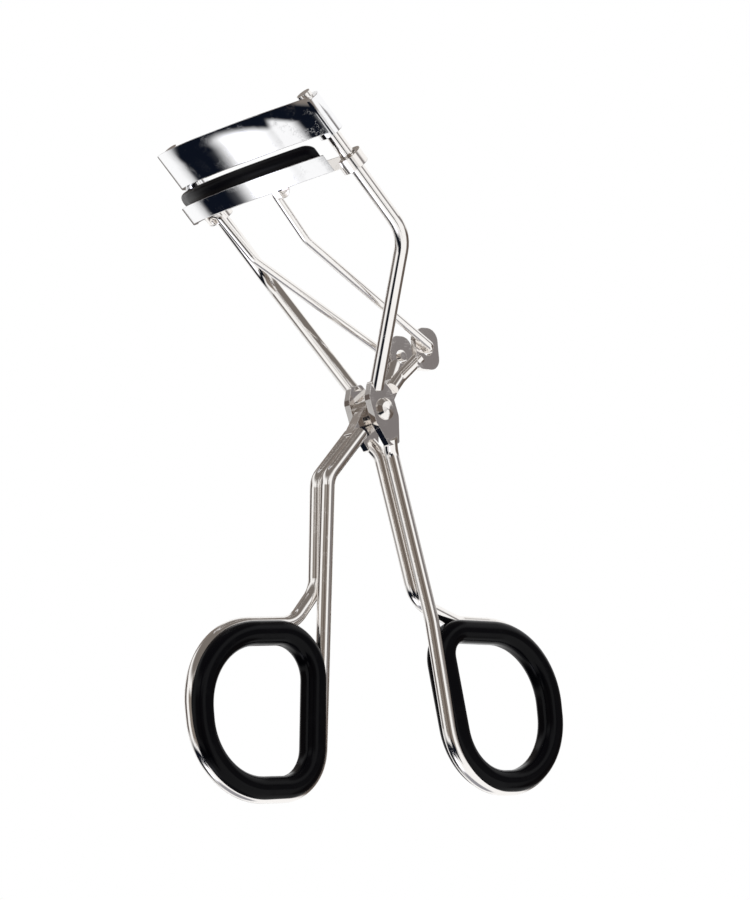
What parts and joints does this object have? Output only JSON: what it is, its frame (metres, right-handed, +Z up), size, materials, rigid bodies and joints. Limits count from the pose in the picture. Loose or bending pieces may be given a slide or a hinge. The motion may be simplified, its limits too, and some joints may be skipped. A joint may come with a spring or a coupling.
{
  "type": "eyelash curler",
  "caption": "Scissor-handled wire eyelash curler: two curved jaws, a rubber pad, a sliding lower jaw on two posts, push rods and two finger rings.",
  "frame": {"origin": "centre of the bounding box's bottom, on the surface that the two finger loops stand on", "axes": "+Z up from the loops to the jaws, +Y along the pivot pin and the width of the jaws, +X towards the fixed handle's loop; the jaws lean to -X"},
  "size_m": [0.0736, 0.0362, 0.1029],
  "materials": {
    "plated_wire": "polished",
    "plated_sheet": "mirror",
    "plated_small": "polished",
    "pad_rubber": "satin",
    "ring_plastic": "gloss"
  },
  "bodies": {
    "frame": {"frame_wire": "plated_wire", "upper_jaw": "plated_sheet", "pivot_rivet": "plated_small", "washer_front": "plated_small", "washer_back": "plated_small", "grip_right": "ring_plastic"},
    "lever": {"lever_wire": "plated_wire", "grip_left": "ring_plastic"},
    "sliding_jaw": {"lower_jaw": "plated_sheet", "rubber_pad": "pad_rubber", "guide_ring_front": "plated_small", "guide_ring_back": "plated_small", "rod_lug_front": "plated_small", "rod_lug_back": "plated_small"},
    "push_rods": {"push_rod_front": "plated_wire", "push_rod_back": "plated_wire"}
  },
  "joints": [
    {"name": "handle_pivot", "type": "hinge", "parent": "frame", "child": "lever", "pos_m": [0.003, 0, 0.0589], "axis": [0, 1, 0], "range_deg": [-2.5, 20]},
    {"name": "jaw_slide", "type": "slide", "parent": "frame", "child": "sliding_jaw", "axis": [0.673, 0, -0.7396], "range_m": [-0.0006, 0.0047]},
    {"name": "rod_swing", "type": "hinge", "parent": "sliding_jaw", "child": "push_rods", "pos_m": [-0.01868, 0, 0.08966], "axis": [0, 1, 0], "range_deg": [-0.1, 0.65]}
  ],
  "couplings": [
    {"joint": "jaw_slide", "follows": "handle_pivot", "m_per_rad": 0.01335},
    {"joint": "rod_swing", "follows": "handle_pivot", "ratio": 0.03}
  ]
}
